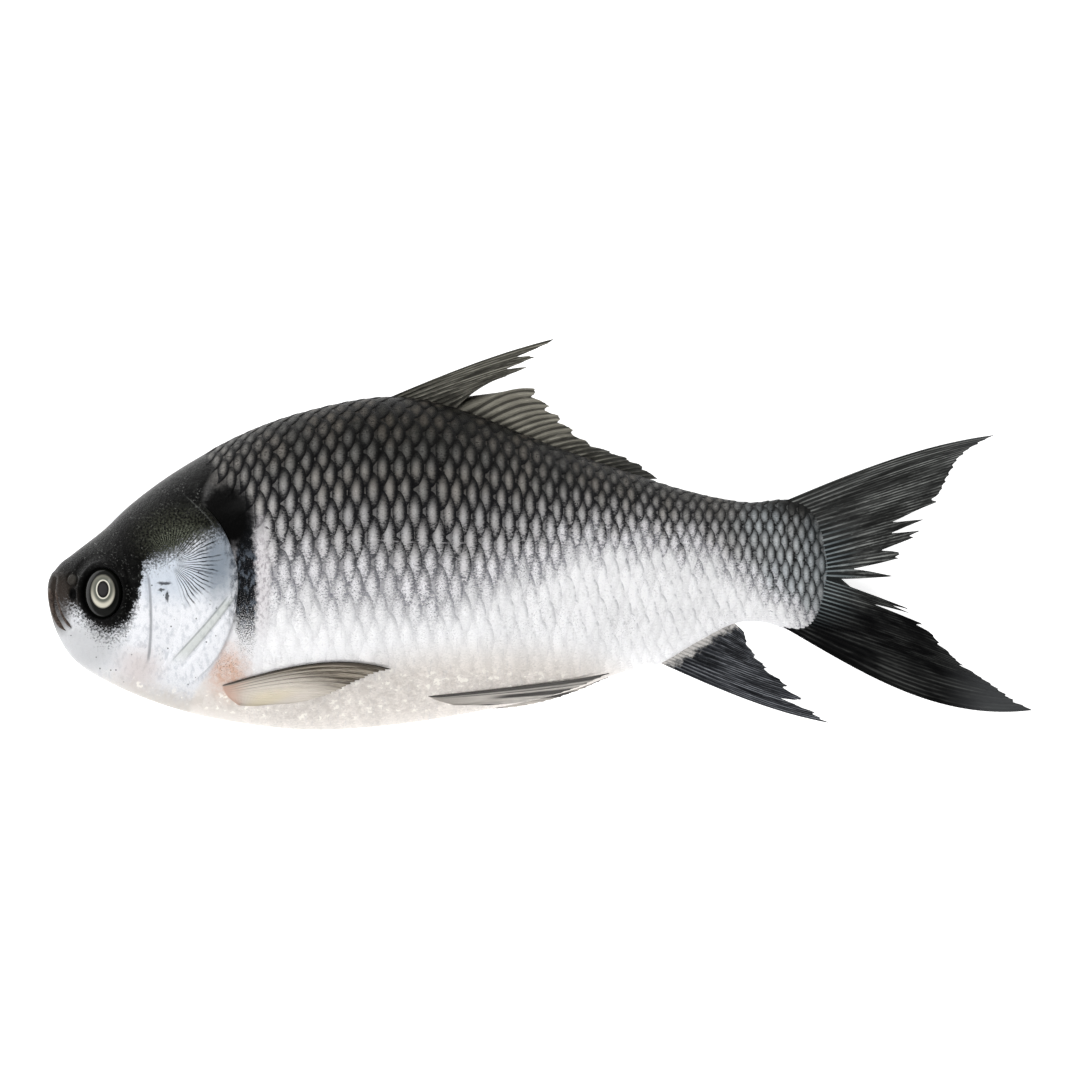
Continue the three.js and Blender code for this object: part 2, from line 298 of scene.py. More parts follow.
class Nodes:
    def __init__(self, owner):
        owner.use_nodes = True
        self.tree = owner.node_tree

    def node(self, kind, settings=(), inputs=(), output=0):
        made = self.tree.nodes.new("ShaderNode" + kind)
        for key, value in dict(settings).items():
            setattr(made, key, value)
        for key, value in dict(inputs).items():
            self.feed(made.inputs[key], value)
        return Signal(self, made.outputs[output])

    def feed(self, socket, value):
        if isinstance(value, Signal):
            self.tree.links.new(value.socket, socket)
        else:
            socket.default_value = value

    def math(self, operation, *values):
        return self.node("Math", {"operation": operation}, enumerate(values))

    def split(self, vector):
        parts = self.node("SeparateXYZ", inputs={0: vector}).socket.node
        return [Signal(self, part) for part in parts.outputs]


class Paint(Nodes):
    def __init__(self, name):
        self.material = bpy.data.materials.new(name)
        super().__init__(self.material)
        self.shader = self.tree.nodes["Principled BSDF"]
        self.colour = rgb(255, 255, 255)

    def mix(self, factor, first, second):
        inputs = {0: factor, 6: first, 7: second}
        return self.node("Mix", {"data_type": "RGBA"}, inputs, output=2)

    def coat(self, cover, *tone):
        """Lays a colour, 0 to 255 or a signal, over what is painted so far."""
        over = tone[0] if len(tone) == 1 else rgb(*tone)
        self.colour = self.mix(cover, self.colour, over)

    def place(self):
        """x and y on the straight fish, in millimetres."""
        x, y, _z = self.split(self.node("TexCoord", output=3))
        return x * (1 / MM) - SNOUT_X, y * (1 / MM) - AXIS_Y

    def own(self):
        """The two numbers that a piece gives each of its points."""
        return self.split(self.node("UVMap", {"uv_map": "own"}))[:2]

    def spread(self, x, y, z=0.0):
        return self.node("CombineXYZ", inputs={0: x, 1: y, 2: z})

    def noise(self, where, scale, detail=3.0, rough=0.55):
        """where is two or three signals or numbers."""
        inputs = {"Vector": self.spread(*where), "Scale": scale, "Detail": detail, "Roughness": rough}
        return self.node("TexNoise", inputs=inputs)

    def cells(self, where, scale, output=0):
        inputs = {"Vector": self.spread(*where), "Scale": scale}
        return self.node("TexVoronoi", inputs=inputs, output=output)

    def ragged(self, x, y, reach, seed):
        """The place moved about by noise, for an edge that isn't smooth."""
        right, up = (self.noise((x, y, z), 0.3, 5.0, 0.7) - 0.5 for z in (0.0, seed))
        return x + right * reach, y + up * reach

    def curve(self, value, points):
        """A smooth curve through [x, y] points, as a signal."""
        (x0, x1), (y0, y1) = ((min(c), max(c)) for c in zip(*points))
        made = self.node("FloatCurve", inputs={"Value": (value - x0) / (x1 - x0)})
        mapping = made.socket.node.mapping
        knots = mapping.curves[0].points
        scaled = [((x - x0) / (x1 - x0), (y - y0) / (y1 - y0)) for x, y in points]
        knots[0].location, knots[-1].location = scaled[0], scaled[-1]
        for x, y in scaled[1:-1]:
            knots.new(x, y)
        mapping.update()
        return made * (y1 - y0) + y0

    def spot(self, where, centre, radii, soft=0.35):
        """1 inside an oval and 0 outside it."""
        across, up = ((w - c) / r for w, c, r in zip(where, centre, radii))
        return (across * across + up * up).root().step(1 + soft, 1 - soft)

    def finish(self, roughness, bump=None, height=0.3, **sockets):
        """The last step: height is the bump's, in millimetres."""
        self.feed(self.shader.inputs["Base Color"], self.colour)
        self.feed(self.shader.inputs["Roughness"], roughness)
        for key, value in sockets.items():
            self.feed(self.shader.inputs[key.replace("_", " ")], value)
        if bump is not None:
            inputs = {"Height": bump, "Distance": height * MM, "Strength": 1.0}
            self.feed(self.shader.inputs["Normal"], self.node("Bump", inputs=inputs))
        return self.material


def rgb(red, green, blue):
    """A colour of the photograph, 0 to 255, as Blender's linear colour."""
    shares = (c / 255 for c in (red, green, blue))
    return (*(c / 12.92 if c < 0.04045 else ((c + 0.055) / 1.055) ** 2.4 for c in shares), 1.0)


# %% [markdown]
# ## The colours of the flank
# The back is nearly black and the belly white. Between them the tone runs through a soft border, whose
# height changes along the fish. The same formula colours the skin and the scales, so no seam shows
# between them.

# %% Flank tones
WET = {"Coat_Weight": 0.04, "Coat_Roughness": 0.15, "Specular_IOR_Level": 0.07}
BORDER = [
    (60, -6), (133, -10), (173, -15), (194, -15), (235, -8), (262, -1), (285, 1), (316, -2), (337, -7),
    (357, -16), (378, -32), (397, -46),
]
SHARPNESS = [(60, 0.8), (190, 0.75), (240, 0.95), (290, 1.6), (397, 1.8)]


def flank_tones(paint, x, y, apart=0.0):
    """The tone of a scale's middle, the tone round it, and how pale the flank is there, 0 on the back."""
    where = x, y
    wander = paint.noise(where, 0.05, 3) - 0.5
    ragged = paint.noise((x, y * 0.3), 0.45, 4, 0.7) - 0.5
    border = paint.curve(x, BORDER)
    fleck = paint.noise((x, y, 2), 1.1, 3, 0.8) - 0.5
    over = (y - border + apart + wander * 4 + ragged * 10 + fleck * 16) * paint.curve(x, SHARPNESS)
    pale = over.step(26, -30)
    upper = paint.mix(over.step(30, 4), rgb(106, 105, 103), rgb(156, 155, 156))
    rear = x.step(335, 372)
    upper = paint.mix(rear * 0.9, upper, rgb(156, 161, 164))
    middle = paint.mix((over * (1 - rear * 0.45)).step(60, 20), rgb(30, 30, 26), upper)
    middle = paint.mix(over.step(10, -14), middle, rgb(208, 207, 210))
    middle = paint.mix(over.step(-6, -26), middle, rgb(250, 250, 251))
    around = paint.mix(over.step(50, 10), rgb(9, 9, 8), rgb(24, 24, 27))
    around = paint.mix(over.step(8, -14), around, rgb(128, 128, 134))
    around = paint.mix(over.step(-10, -36), around, rgb(218, 217, 220))
    tint = paint.noise(where, 0.06, 2).step(0.4, 0.65) * (1 - pale)
    middle = paint.mix(tint * 0.12, middle, rgb(150, 138, 126))
    cream = (y - paint.curve(x, [(0, -78), (120, -74), (230, -60), (310, -76), (397, -90)])).step(12, -10)
    middle = paint.mix(cream * 0.9, middle, rgb(223, 216, 209))
    around = paint.mix(cream * 0.9, around, rgb(210, 203, 196))
    return middle, around, pale


# %% [markdown]
# ## The head's colours
# The head has no scales. It is black and brown on top and round the eye, silver white on the cheek, and
# blue where the gill cover thins. Each patch is a soft spot or a soft border whose edge is roughened by
# noise.


# %% Head paint
HEAD_BORDER = [
    (0, -36), (8, -34), (14, -36), (20.5, -42), (24.5, -46), (29.5, -48.5), (37, -47), (41, -45),
    (44, -39), (46.5, -33), (48, -26), (48.8, -18.5), (50.5, -14), (56, -11.5), (64, -8.3), (71.6, -4.4),
    (78, -0.6), (84.4, 1.3), (90, 4.2), (104, 12),
]
COVER_REAR = [(-80, 70), (-63, 86), (-44, 95), (-28, 97.6), (-14, 96.5), (4, 89), (21, 74)]
NAPE = [(-100, 70), (-84, 74), (-60, 88), (-30, 95), (0, 90), (14, 80), (30, 84), (60, 96)]
KEEL = [
    (0, -40), (13, -60), (35, -73), (63, -84), (92, -91), (135, -95), (178, -92), (220, -86), (300, -70),
]
FAN = (63.5, -15)  # where the fine streaks of the gill cover start


def head_colour(paint, x, y):
    where = x, y
    rough = paint.ragged(x, y, 8, 7)
    grain = paint.noise(where, 0.9, 6, 0.7)
    fine = paint.noise(where, 2.6, 4, 0.75)
    mottle = paint.noise((x, y * 0.6, 3), 0.4, 5, 0.7)
    paint.colour = paint.mix(fine.step(0.3, 0.6), rgb(212, 214, 218), rgb(236, 237, 241))
    paint.coat(mottle.step(0.48, 0.64) * 0.6, 186, 190, 197)
    paint.coat(paint.spot(rough, (64, -20), (24, 13), 0.6) * 0.6, 178, 190, 204)
    paint.coat(paint.spot(rough, (88, -12), (9, 20), 0.7) * 0.85, 104, 116, 128)
    behind = rough[0] - paint.curve(y, COVER_REAR)
    rim = behind.step(-5.5, -1) * y.step(-50, -36) * mottle.step(0.3, 0.6)
    paint.coat(rim * 0.85, 40, 48, 58)
    paint.coat((y + x * 0.25 + mottle * 10).step(-52, -68), 194, 188, 181)
    paint.coat(paint.spot((rough[0], y), (17, -58), (20, 13), 0.5) * 0.85, 188, 189, 191)
    paint.coat(paint.spot(rough, (47, -68), (10, 9), 0.8) * 0.6, 198, 184, 179)
    cover_band(paint, x, y)
    head_marks(paint, x, y, rough)
    head_top(paint, x, y, rough, grain, fine)


def cover_band(paint, x, y):
    """The long narrow bone under the gill cover, greenish grey between two creases."""
    above = x - paint.curve(y, [(-64, 64), (-53, 74.2), (-43, 83.2), (-31, 93)])
    below = x - paint.curve(y, [(-66, 68.3), (-56, 77.3), (-44.5, 86.8), (-33, 95.4)])
    inside = above.step(-0.3, 0.6) * below.step(0.3, -0.6) * y.step(-67, -58) * y.step(-31, -36)
    paint.coat(inside * 0.5, 172, 178, 168)
    # Painted shade along the two creases, which follow the grooves sunk into the gill cover.
    creases = abs(above).step(0.9, 0.2) + abs(below).step(0.9, 0.2) * 0.7
    creases = creases * y.step(-68, -56) * y.step(-30, -34)
    paint.coat(creases * 0.55, 104, 110, 108)


def round_fan(paint, x, y):
    """The direction and the distance from the point where the fine streaks start."""
    across, up = x - FAN[0], y - FAN[1]
    return paint.math("ARCTAN2", up, across), (across * across + up * up).root()


def head_top(paint, x, y, rough, grain, fine):
    rough_x, rough_y = rough
    depth = rough_y - paint.curve(rough_x, HEAD_BORDER)
    paint.coat((depth + (grain - 0.5) * 44).step(-9, 1) * 0.8, 40, 42, 44)
    below = paint.colour
    paint.colour = paint.mix(grain.step(0.46, 0.66), rgb(1, 1, 1), rgb(14, 14, 13))
    nape = (y - 0.8 * x).step(-16, 14) * x.step(40, 80)
    paint.coat(nape * 0.8, 36, 36, 34)
    paint.coat(paint.noise((x, y, 5), 0.12, 3).step(0.52, 0.66) * 0.5, 24, 25, 23)
    # Painted glints: thin light streaks on the wet top of the head, where it would catch the light.
    painted_glint = abs(paint.noise((x, y, 11), 0.09, 4, 0.6) - 0.5).step(0.016, 0.003)
    paint.coat(painted_glint * grain.step(0.5, 0.62) * 0.7, 96, 97, 95)
    olive = paint.spot(rough, (67, -1), (19, 13), 0.6) * grain.step(0.44, 0.56)
    paint.coat(olive * 0.8, 58, 60, 50)
    turn, _far = round_fan(paint, x, y)
    light = paint.math("SINE", turn * 74 + grain * 16).step(0.35, 0.95) * fine.step(0.4, 0.6)
    light = light * paint.spot(rough, (69, -4), (13, 8), 0.5)
    paint.coat(light * 0.85, 126, 132, 116)
    hem = abs(x - paint.curve(y, [(-14, 95), (4, 87), (14, 78), (21, 70)]) + grain * 3)
    hem = hem.step(0.8, 0.1) * y.step(-6, 2) * y.step(21, 16)
    paint.coat(hem * fine.step(0.4, 0.55) * 0.6, 88, 90, 88)
    brown = paint.spot(rough, (6, -36), (10, 15), 0.5) * grain.step(0.3, 0.6)
    paint.coat(brown * 0.75, 44, 38, 33)
    soft = x.step(48, 58)
    edge = depth + (grain - 0.5) * (26 - soft * 8)
    paint.colour = paint.mix(edge.step(soft * -3 - 1.5, soft * 2.5 + 1.5), below, paint.colour)


def head_marks(paint, x, y, rough):
    where = x, y
    specks = paint.cells(where, 0.3).step(0.16, 0.1)
    some = paint.noise(where, 0.09).step(0.5, 0.56)
    paint.coat(specks * some * 0.8, 40, 42, 46)
    near = [place * 0.6 + moved * 0.4 for place, moved in zip((x, y), rough)]
    scars = ((60.5, -25), (3.4, 0.9)), ((61.6, -31.5), (0.8, 2.6)), ((58.5, -28), (1.6, 0.7))
    for centre, radii in scars:
        paint.coat(paint.spot(near, centre, radii, 0.4) * 0.85, 18, 20, 24)
    turn, far = round_fan(paint, x, y)
    wobble = paint.noise(where, 0.12) * 7
    streak = paint.math("SINE", turn * 62 + wobble) + paint.math("SINE", turn * 113 + wobble * 1.7) * 0.55
    reach = far.step(2, 5) * (far + paint.noise((turn, far * 0.03), 5) * 26).step(40, 30)
    fan = turn.step(-1.35, -1) * turn.step(1.3, 1) * reach * streak.step(0.15, 0.7)
    paint.coat(fan * 0.95, 14, 17, 20)


def behind_gills(paint, x, y):
    """A black patch, a dark band, a white stripe and a pink fin base behind the gill cover."""
    where = x, y
    rough = paint.ragged(x, y, 9, 3)
    specks = paint.noise(where, 1.5, 5, 0.8)
    stripe = paint.spot(rough, (109.5, -22), (4.5, 25), 0.5)
    paint.coat(stripe * 0.9, 222, 219, 221)
    mottled = paint.noise((x * 1.4, y * 0.8, 6), 0.55, 4, 0.7)
    paint.coat(stripe * mottled.step(0.48, 0.6) * 0.55, 132, 122, 130)
    pink = paint.spot(rough, (92, -70), (9, 11), 0.8)
    worn = paint.noise((x, y, 12), 0.35, 4, 0.7).step(0.66, 0.4)
    paint.coat(pink * (worn * 0.45 + 0.4), 206, 160, 132)
    paint.coat(pink * specks.step(0.53, 0.6) * y.step(-80, -66) * 0.8, 60, 44, 38)
    band = paint.spot(rough, (101.5, -27), (5.6, 42), 0.25)
    density = (specks + y.step(-26, -68) * 0.24).step(0.72, 0.56)
    patches = paint.noise((x * 1.5, y * 0.7, 2), 0.3, 4, 0.6).step(0.5, 0.62) * y.step(-2, -14)
    dark = paint.mix(patches * 0.6, rgb(14, 16, 19), rgb(96, 104, 114))
    paint.coat(band * density, dark)
    paint.coat(paint.spot(rough, (91, 9), (14, 17), 0.3), 3, 3, 3)


def glints(paint, x, y):
    """Small wet glints along the throat and the belly."""
    blob = paint.noise((x, y * 1.25, 5), 0.32, 2, 0.5)
    upper = paint.curve(x, [(0, -66), (40, -72), (80, -80), (130, -76), (200, -68), (260, -70), (397, -90)])
    low = (y - upper).step(3, -4) * (y - paint.curve(x, KEEL)).step(-1, 2)
    paint.coat(blob.step(0.5, 0.38) * low * 0.25, 176, 166, 158)
    paint.coat(blob.step(0.59, 0.66) * low * 0.8, 252, 248, 240)


# %% Skin of the head and the body under the scales
def skin_material():
    paint = Paint("skin")
    x, y = paint.place()
    middle, around, _pale = flank_tones(paint, x, y)
    paint.colour = paint.mix(paint.noise((x, y), 0.8, 5), around, middle)
    behind_gills(paint, x, y)
    flesh = paint.colour
    head_colour(paint, x, y)
    paint.colour = paint.mix((x - paint.curve(y, NAPE)).step(2, -2), flesh, paint.colour)
    mouth_and_eye(paint, x, y)
    glints(paint, x, y)
    return paint.finish(0.3, paint.noise((x, y), 0.5, 6, 0.65), 0.7, **WET)


def mouth_and_eye(paint, x, y):
    paint.coat(paint.spot((x, y), (28.2, -30.2), (11.8, 14.6), 0.12), 9, 9, 9)
    wavy_x = x + (paint.noise((x, y), 0.5, 4) - 0.5) * 4
    paint.coat(paint.spot((wavy_x, y), (4, -36), (8.5, 14), 0.45) * 0.85, 48, 42, 38)  # lips
    # The nostril's pit is painted near black: painted shade in the hollow.
    paint.coat(paint.spot((x, y), (13.4, -30.5), (2.2, 3.6), 0.4), 12, 12, 12)  # nostril
    paint.coat(paint.spot((x, y), (12.8, -23), (2.1, 2.5), 0.3) * 0.7, 60, 58, 54)  # its flap
    # Painted shade along the crease in front of the gill cover, where the skin is sunk.
    crease = abs(x - paint.curve(y, [(-66, 50.6), (-56, 52.8), (-40, 53.4), (-19, 50.4)]))
    crease = crease.step(1, 0.3) * y.step(-67, -60) * y.step(-17, -24)
    paint.coat(crease * 0.6, 120, 122, 128)


SKIN = skin_material()
print("skin material:", len(SKIN.node_tree.nodes), "nodes")

# %% [markdown]
# ## The skin
# The rings stand closer together on the head, whose relief is set by distances on the cheek: the eye's
# socket with its raised rim, the crease in front of the gill cover, the nostril and the mouth.


# %% Relief of the head
EYE = (28.2, -30.0)
EYE_RADII = (10.4, 12.7, 5.5)
EYE_DEPTH = 2.6  # how far the ball's middle lies under the cheek
GAPE = line([(3.6, -22.5), (3.2, -30), (5.4, -38.5), (8.6, -44), (12, -47.6)])
GILL_FRONT = line([(62, 13), (64, 2), (66, -14), (67, -30), (66, -46), (60, -62), (54, -74)])
GILL_REAR = line([(74, 21), (89, 4), (96.5, -14), (97.6, -28), (95, -44), (86, -63), (68, -80.5)])


def oval(x, y, centre, radii):
    return np.hypot((x - centre[0]) / radii[0], (y - centre[1]) / radii[1])


def hump(value, width):
    return np.exp(-((value / width) ** 2))


def distance_to(route, x, y, samples=60):
    points = route(np.linspace(0, 1, samples))
    gaps = np.hypot(x[..., None] - points[:, 0], y[..., None] - points[:, 1])
    return gaps.min(axis=-1)


def head_relief(x, y):
    socket = oval(x, y, EYE, (EYE_RADII[0] + 0.6, EYE_RADII[1] + 0.6))
    lift = 0.9 * hump(socket - 1.1, 0.1) - 0.5 * hump(socket - 1.42, 0.13) - 5.5 * smooth(socket, 1, 0.86)
    crease_x = through([(-70, 50), (-56, 52.8), (-40, 53.4), (-15, 50)])(y)
    window = smooth(y, -70, -60) * smooth(y, -15, -24)
    beyond = x - crease_x
    swollen = 0.9 * smooth(beyond, -14, -1.2) * smooth(beyond, 0.6, -0.4)
    lift = lift + window * (swollen - 0.5 * hump(beyond - 0.6, 0.9))
    nostril = oval(x, y, (13.2, -30.5), (1.9, 3.0))
    lift = lift - 1.6 * smooth(nostril, 1.1, 0.6)
    flap = oval(x, y, (12.8, -23.4), (2.1, 2.6))
    lift = lift + 0.9 * smooth(flap, 1.15, 0.6) - 0.6 * hump(flap - 1.3, 0.18)
    brow = hump(oval(x, y, (30, -13), (13, 4.5)), 1.0)
    return lift + 0.8 * brow - 0.5 * hump(oval(x, y, (46, -2), (10, 5)), 1.0)


RELIEF_END = 62  # the relief of the cheek ends before the gill covers start
MOUTH_RINGS = 90


def skin_piece():
    near = np.linspace(0.22, 10, 170) ** 2
    far = np.linspace(100, BODY_LENGTH, 150)[1:]
    x = np.concatenate([near, far])[:, None]
    angle = np.linspace(0, 2 * math.pi, 220, endpoint=False)[None, :]
    angle = np.where(angle > math.pi, angle - 2 * math.pi, angle)
    place = straight(x, angle)
    px, py = place[..., 0], place[..., 1]
    lift = np.where(px < RELIEF_END, head_relief(px, py), 0.0)
    mouth = distance_to(GAPE, px[:MOUTH_RINGS], py[:MOUTH_RINGS])
    lift[:MOUTH_RINGS] += 0.5 * hump(mouth - 2.4, 1.2) - 1.3 * hump(mouth, 0.9)
    return closed("skin", skin(x, angle, lift), SKIN)


skin_piece()
print("skin: made")

# %% [markdown]
# ## Scales
# Scales lie in rows along the fish, half a step apart from row to row like roof tiles, and each one
# covers the root of the scale behind it. A row is a fixed number of row widths away from the lateral
# line, measured round the body, and a column is a step along it. Every scale is a thin curved plate whose
# rear edge stands free.

# %% Rows, columns and one scale
LATERAL_SHARE = 0.44  # where the lateral line runs, as a share of the way from the back to the belly
STEP = through([(60, 6.2), (90, 6.6), (115, 8.0), (190, 8.4), (250, 6.8), (357, 5.6), (397, 5.0)])
ROW = through(
    [(60, 10.5), (120, 12.2), (178, 12.7), (240, 12.2), (275, 10.8), (312, 8.6), (342, 7.6), (397, 7.1)]
)
HEAD_EDGE = through(
    [
        (-100, 92), (-85, 95), (-74, 101), (-59, 105), (-34, 106), (-13, 104), (2, 101), (20, 95),
        (32, 80), (50, 72), (70, 70),
    ]
)
TAIL_EDGE = through(
    [
        (-60, 384), (-52, 386), (-46, 392), (-34, 395.5), (-15, 395.5), (0, 394.5), (10, 391),
        (14.3, 386), (20, 382),
    ]
)

table_x = np.linspace(0.5, BODY_LENGTH, 320)
table_share = np.linspace(0, 1, 241)
table_angle = np.linspace(0, math.pi, len(table_share))
table_yz = straight(table_x[:, None], table_angle)[..., 1:]
table_arc = np.cumsum(np.linalg.norm(np.diff(table_yz, axis=1, prepend=table_yz[:, :1]), axis=-1), axis=1)
table = np.stack([np.interp(table_share, arc / arc[-1], table_angle) for arc in table_arc])


def girth(x):
    return np.interp(x, table_x, table_arc[:, -1])


def angle_of_arc(x, arc):
    """The angle at which a distance round the body from the ridge of the back ends."""
    share = arc / girth(x)
    folded = np.where(share > 1, 2 - share, np.abs(share))
    row = np.clip((x - table_x[0]) / (table_x[1] - table_x[0]), 0, len(table_x) - 1.001)
    column = np.clip(folded, 0, 0.9999) * (len(table_share) - 1)
    i, j = row.astype(int), column.astype(int)
    u, v = row - i, column - j
    near = table[i, j] * (1 - v) + table[i, j + 1] * v
    next_ring = table[i + 1, j] * (1 - v) + table[i + 1, j + 1] * v
    angle = near * (1 - u) + next_ring * u
    return np.where(share > 1, 2 * math.pi - angle, np.sign(share) * angle)


TONE = through(BORDER)
steps_x = np.linspace(40, 400, 721)  # from before the first scale to past the last one
steps_done = np.cumsum(np.append(0, np.diff(steps_x) / STEP(steps_x[1:])))


def lattice(column, row):
    """Rows lie closer together towards the ridge of the back."""
    x = np.interp(column, steps_done, steps_x)
    return x, LATERAL_SHARE * girth(x) + row * (1 + 0.03 * np.minimum(row, 0)) * ROW(x)


def scale_places():
    """Column and row of every scale of one flank."""
    found = []
    for row in range(-12, 13):
        for column in np.arange(0, steps_done[-1]) + 0.5 * (row % 2):
            x, arc = lattice(column, row)
            past = 0.35 * ROW(x)
            if not -past < arc < girth(x) + past:
                continue
            y = straight(x, angle_of_arc(np.array(x), np.array(arc)))[1]
            if HEAD_EDGE(y) + 3 < x < TAIL_EDGE(y) - 1:
                found.append((column, row))
    return np.array(found, float)


def scale_rear(b):
    return 0.9 * np.sqrt(np.clip(1 - b * b, 0.015, 1))


def scales(side, material, long=6, wide=10):
    name = f"scales_{SIDES[side]}"
    spots = scale_places()
    count = len(spots)
    jitter = rng.normal(0, 1, (count, 4))
    b = np.linspace(-1, 1, wide + 1)[None, None, :]
    a = np.linspace(0, 1, long + 1)[None, :, None]
    rear = scale_rear(b) + 0.03 * jitter[:, 2, None, None] * b
    dc = -0.4 + a * (rear + 0.4)
    dr = b * (1.04 + 0.03 * jitter[:, 3, None, None]) + 0 * a
    lift = -0.3 + 0.85 * a - 0.25 * b * b + 0.04 * jitter[:, 0, None, None]
    lift = lift - 0.18 * smooth(a, 0.86, 1)
    dc, dr, lift = (np.concatenate([g, g[:, -1:]], axis=1) for g in np.broadcast_arrays(dc, dr, lift))
    dc[:, -1] += 0.06
    lift[:, -1] = -0.25
    column = spots[:, 0, None, None] + 0.05 * jitter[:, 1, None, None] + dc
    row = spots[:, 1, None, None] + dr
    x, arc = lattice(column, row)
    angle = angle_of_arc(x, arc)
    over = (straight(x, angle)[..., 1] - TONE(x)) * through(SHARPNESS)(x)
    slim = np.clip(STEP(x) / 7, 0.6, 1.1) * (1 - 0.9 * smooth(over, 12, -18))
    slim = slim * (1 - 0.6 * smooth(x, 370, 396))
    points = skin(x, side * angle, lift * slim)
    start = np.arange(count)[:, None, None] * (long + 2) * (wide + 1)
    i, j = np.arange(long + 1)[None, :, None], np.arange(wide)[None, None, :]
    first = start + i * (wide + 1) + j
    faces = np.stack([first, first + 1, first + wide + 2, first + wide + 1], axis=-1).reshape(-1, 4)
    uv = np.stack([dc, dr], axis=-1)
    shade = np.repeat(rng.uniform(0, 1, count), (long + 2) * (wide + 1))
    made = piece(name, points, faces if side < 0 else faces[:, ::-1], material, uv=uv, shade=shade)
    print(name, count, "scales,", 2 * len(faces), "triangles")
    return made


# %% Scale material
def scale_material():
    paint = Paint("scales")
    x, y = paint.place()
    along, across = paint.own()
    shade = paint.node("Attribute", {"attribute_name": "shade"}, output="Fac")
    middle, around, pale = flank_tones(paint, x, y, (shade - 0.5) * 11)
    sand = paint.cells((x * 0.8, y * 1.4), 1.3, output=1) - 0.5
    grain = paint.noise((x * 0.7, y * 1.9), 0.6, 5, 0.85).step(0.3, 0.7)
    speck = paint.noise((x, y, 9), 1.2, 4, 0.8)
    level = across * across
    rear = x.step(300, 350)
    lens_x = (along - level * 0.15 - 0.42) / (0.3 + rear * 0.05 + pale * 0.14)
    lens_y = across / (0.62 + rear * 0.14 + pale * 0.3)
    far = (lens_x * lens_x + lens_y * lens_y).root()
    far = far + (grain - 0.5) * (0.5 + pale * 0.4) + sand * (0.7 + pale * 0.8)
    # Each scale's light middle sits in a darker surround: partly pigment, partly painted shadow cast by the
    # rim of the scale in front.
    lens = far.step(1.3, 0.45)
    lens = paint.math("MAXIMUM", lens, pale.step(0.7, 1) * 0.6)
    shoulder = [(60, 8), (120, 22), (171, 34), (258, 22), (328, 6), (397, -4)]
    ridge = (y - paint.curve(x, shoulder)).step(0, 24)
    # Painted highlight: a soft bright middle on each scale, where a convex wet scale would catch the light.
    core_highlight = (far + across * -0.3).step(0.85, 0.1) * (1 - pale.step(0.5, 0.9)) * (1 - ridge * 0.75)
    edge = paint.math("MAXIMUM", 1 - level, 0).root() * 0.9 - along
    # A grey line along each scale's free rear edge: partly pigment, partly painted shadow cast on the scale
    # behind.
    edge_line_and_shadow = (edge + (speck - 0.5) * 0.7).step(0.26, 0.02) * across.step(0.5, -0.4)
    broken = paint.noise((x, y, 6), 0.25, 3).step(0.44, 0.56)
    edge_line_and_shadow = edge_line_and_shadow * pale.step(0.3, 0.7) * (y + x * 0.06).step(-52, -22) * broken
    paint.colour = paint.mix(lens, around, middle)
    paint.coat(edge_line_and_shadow * 0.4, 128, 128, 136)
    streak = paint.noise((x * 1.6, y * 0.35, 1), 0.5, 4, 0.7)
    paint.coat(streak.step(0.54, 0.66) * pale * 0.25, 184, 183, 187)
    side_line = abs(y - paint.curve(x, [(130, -1), (160, -2.5), (200, -4.5), (260, -4)]))
    side_line = (side_line + speck).step(1.1, 0.5) * x.step(138, 152) * x.step(230, 200)
    paint.coat(side_line * broken * 0.6, 176, 174, 176)
    sparse = paint.noise((x, y, 8), 0.035, 2).step(0.47, 0.6) * 0.35
    dots = speck.step(0.55, 0.62) * (abs(pale - 0.66).step(0.34, 0.1) * 0.75 + sparse * y.step(-62, -48))
    paint.coat(dots * pale.step(0.2, 0.4), 72, 72, 80)
    rough = (grain - 0.5) * (1 - pale * 0.86) + sand * (1.3 - pale)
    # The scale's tone is scaled by its random tone, grain and sand, and the painted highlight in its
    # middle.
    spread = (shade - 0.5) * (0.5 - pale * 0.36) + rough + core_highlight * 0.75 + 0.84 + pale * 0.18
    paint.colour = paint.node("VectorMath", {"operation": "SCALE"}, {0: paint.colour, "Scale": spread})
    behind_gills(paint, x, y)
    glints(paint, x, y)
    paint.coat(x.step(378, 398) * 0.35, 44, 52, 54)
    keel = (y - paint.curve(x, [(300, 27), (330, 18.5), (356, 13.5), (397, 10)])).step(-4, 2.5)
    paint.coat(keel * x.step(330, 372) * 0.8, 26, 27, 26)
    rings = paint.math("SINE", (along * along + level * 1.4).root() * 70)
    bump = grain * 0.8 + rings * 0.06 + speck * 0.3
    return paint.finish(0.4, bump, 0.2, **WET)


SCALES = scale_material()
for side in SIDES:
    scales(side, SCALES)

# %% [markdown]
# ## Gill covers
# Each gill cover is a bony plate of its own with a free rear edge. It grows out of the cheek, and a
# shallow groove parts its lower blade from the rest.


# %% Gill covers
BLADE_TOP = line([(93, -31), (83.2, -43), (74.2, -53), (66, -62)])
BLADE_LOW = line([(95.5, -35), (88.3, -44.5), (79, -56), (70, -66)])


